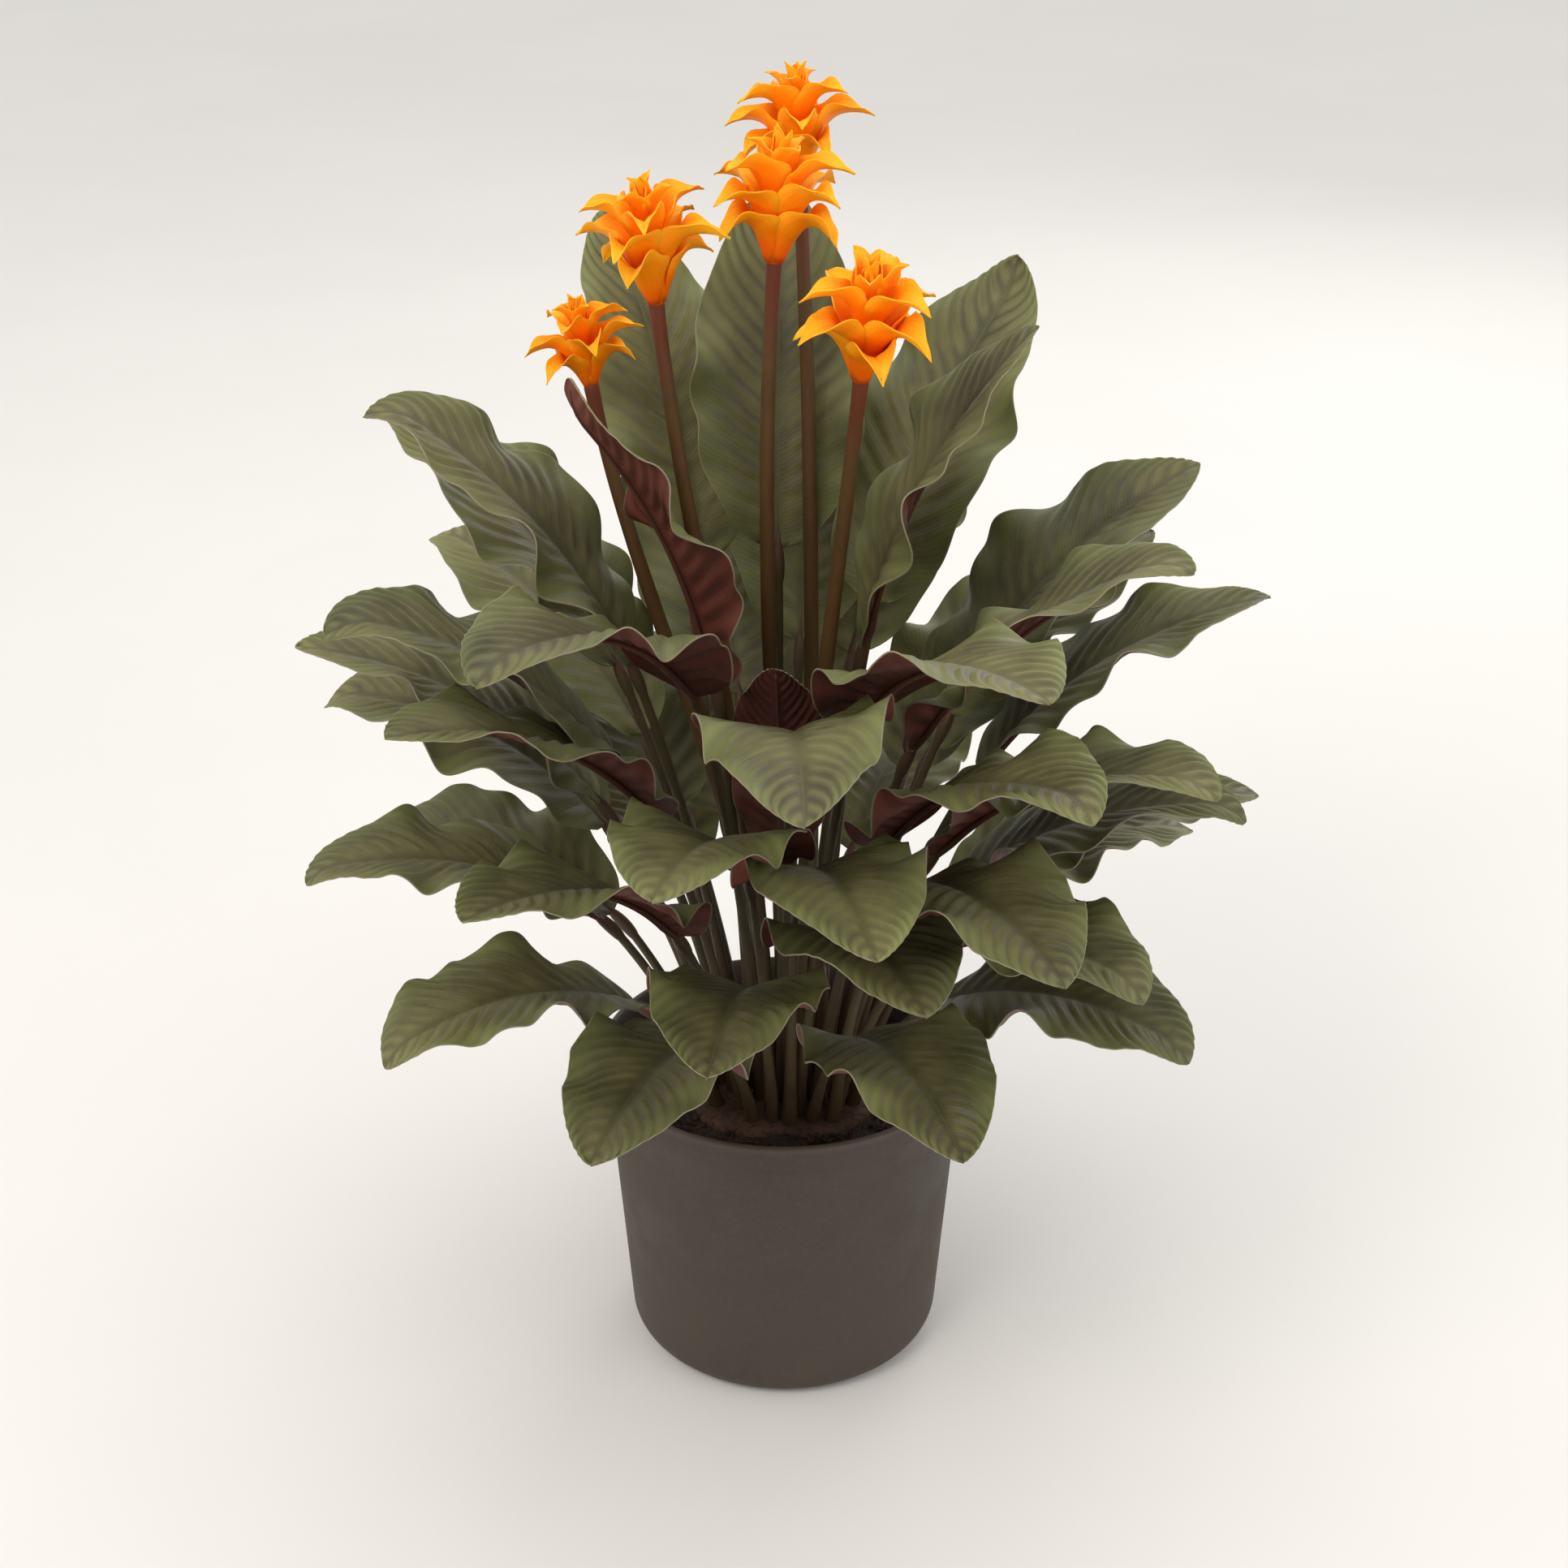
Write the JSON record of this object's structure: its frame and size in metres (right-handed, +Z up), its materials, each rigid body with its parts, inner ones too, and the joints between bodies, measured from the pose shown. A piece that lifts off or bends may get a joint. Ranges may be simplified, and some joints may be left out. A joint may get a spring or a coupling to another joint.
{
  "type": "potted eternal flame calathea",
  "caption": "Prayer plant with pleated dark green leaves, maroon beneath, and orange flame-like flower heads on slim stems, in a plain tapered nursery pot.",
  "frame": {"origin": "centre of the pot's flat foot, on the surface that the pot stands on", "axes": "+Z up along the pot's axis; the plant's front looks along -Y, with +X to the viewer's right"},
  "size_m": [0.3205, 0.3246, 0.4461],
  "materials": {
    "pot_plastic": "matte taupe moulded plastic",
    "peat_mix": "moist dark peat potting mix with coarse fibres",
    "rhizome_bark": "dull brown scaly rhizome",
    "leaf_blade": "satin dark green upper side, maroon underside, pale edge line",
    "flower_stem": "smooth satin stalk, purplish brown above and olive brown below",
    "flower_bract": "waxy satin orange bracts, yellow-orange at the lips and red-orange inside"
  },
  "bodies": {
    "root": {"pot": "pot_plastic", "potting_mix": "peat_mix", "rootstock": "rhizome_bark", "leaf_01": "leaf_blade", "leaf_02": "leaf_blade", "leaf_03": "leaf_blade", "leaf_04": "leaf_blade", "leaf_05": "leaf_blade", "leaf_06": "leaf_blade", "leaf_07": "leaf_blade", "leaf_08": "leaf_blade", "leaf_09": "leaf_blade", "leaf_10": "leaf_blade", "leaf_11": "leaf_blade", "leaf_12": "leaf_blade", "leaf_13": "leaf_blade", "leaf_14": "leaf_blade", "leaf_15": "leaf_blade", "leaf_16": "leaf_blade", "leaf_17": "leaf_blade", "leaf_18": "leaf_blade", "leaf_19": "leaf_blade", "leaf_20": "leaf_blade", "leaf_21": "leaf_blade", "leaf_22": "leaf_blade", "leaf_23": "leaf_blade", "leaf_24": "leaf_blade", "leaf_25": "leaf_blade", "leaf_26": "leaf_blade", "leaf_27": "leaf_blade", "leaf_28": "leaf_blade", "leaf_29": "leaf_blade", "leaf_30": "leaf_blade", "leaf_31": "leaf_blade", "leaf_32": "leaf_blade", "leaf_33": "leaf_blade", "leaf_34": "leaf_blade", "leaf_35": "leaf_blade", "leaf_36": "leaf_blade", "leaf_37": "leaf_blade", "leaf_38": "leaf_blade", "leaf_39": "leaf_blade", "leaf_40": "leaf_blade", "leaf_41": "leaf_blade", "leaf_42": "leaf_blade", "leaf_43": "leaf_blade", "leaf_44": "leaf_blade", "leaf_45": "leaf_blade", "leaf_46": "leaf_blade", "leaf_47": "leaf_blade", "flower_stem_01": "flower_stem", "flower_stem_02": "flower_stem", "flower_stem_03": "flower_stem", "flower_stem_04": "flower_stem", "flower_stem_05": "flower_stem", "flower_head_01": "flower_bract", "flower_head_02": "flower_bract", "flower_head_03": "flower_bract", "flower_head_04": "flower_bract", "flower_head_05": "flower_bract"}
  },
  "joints": []
}
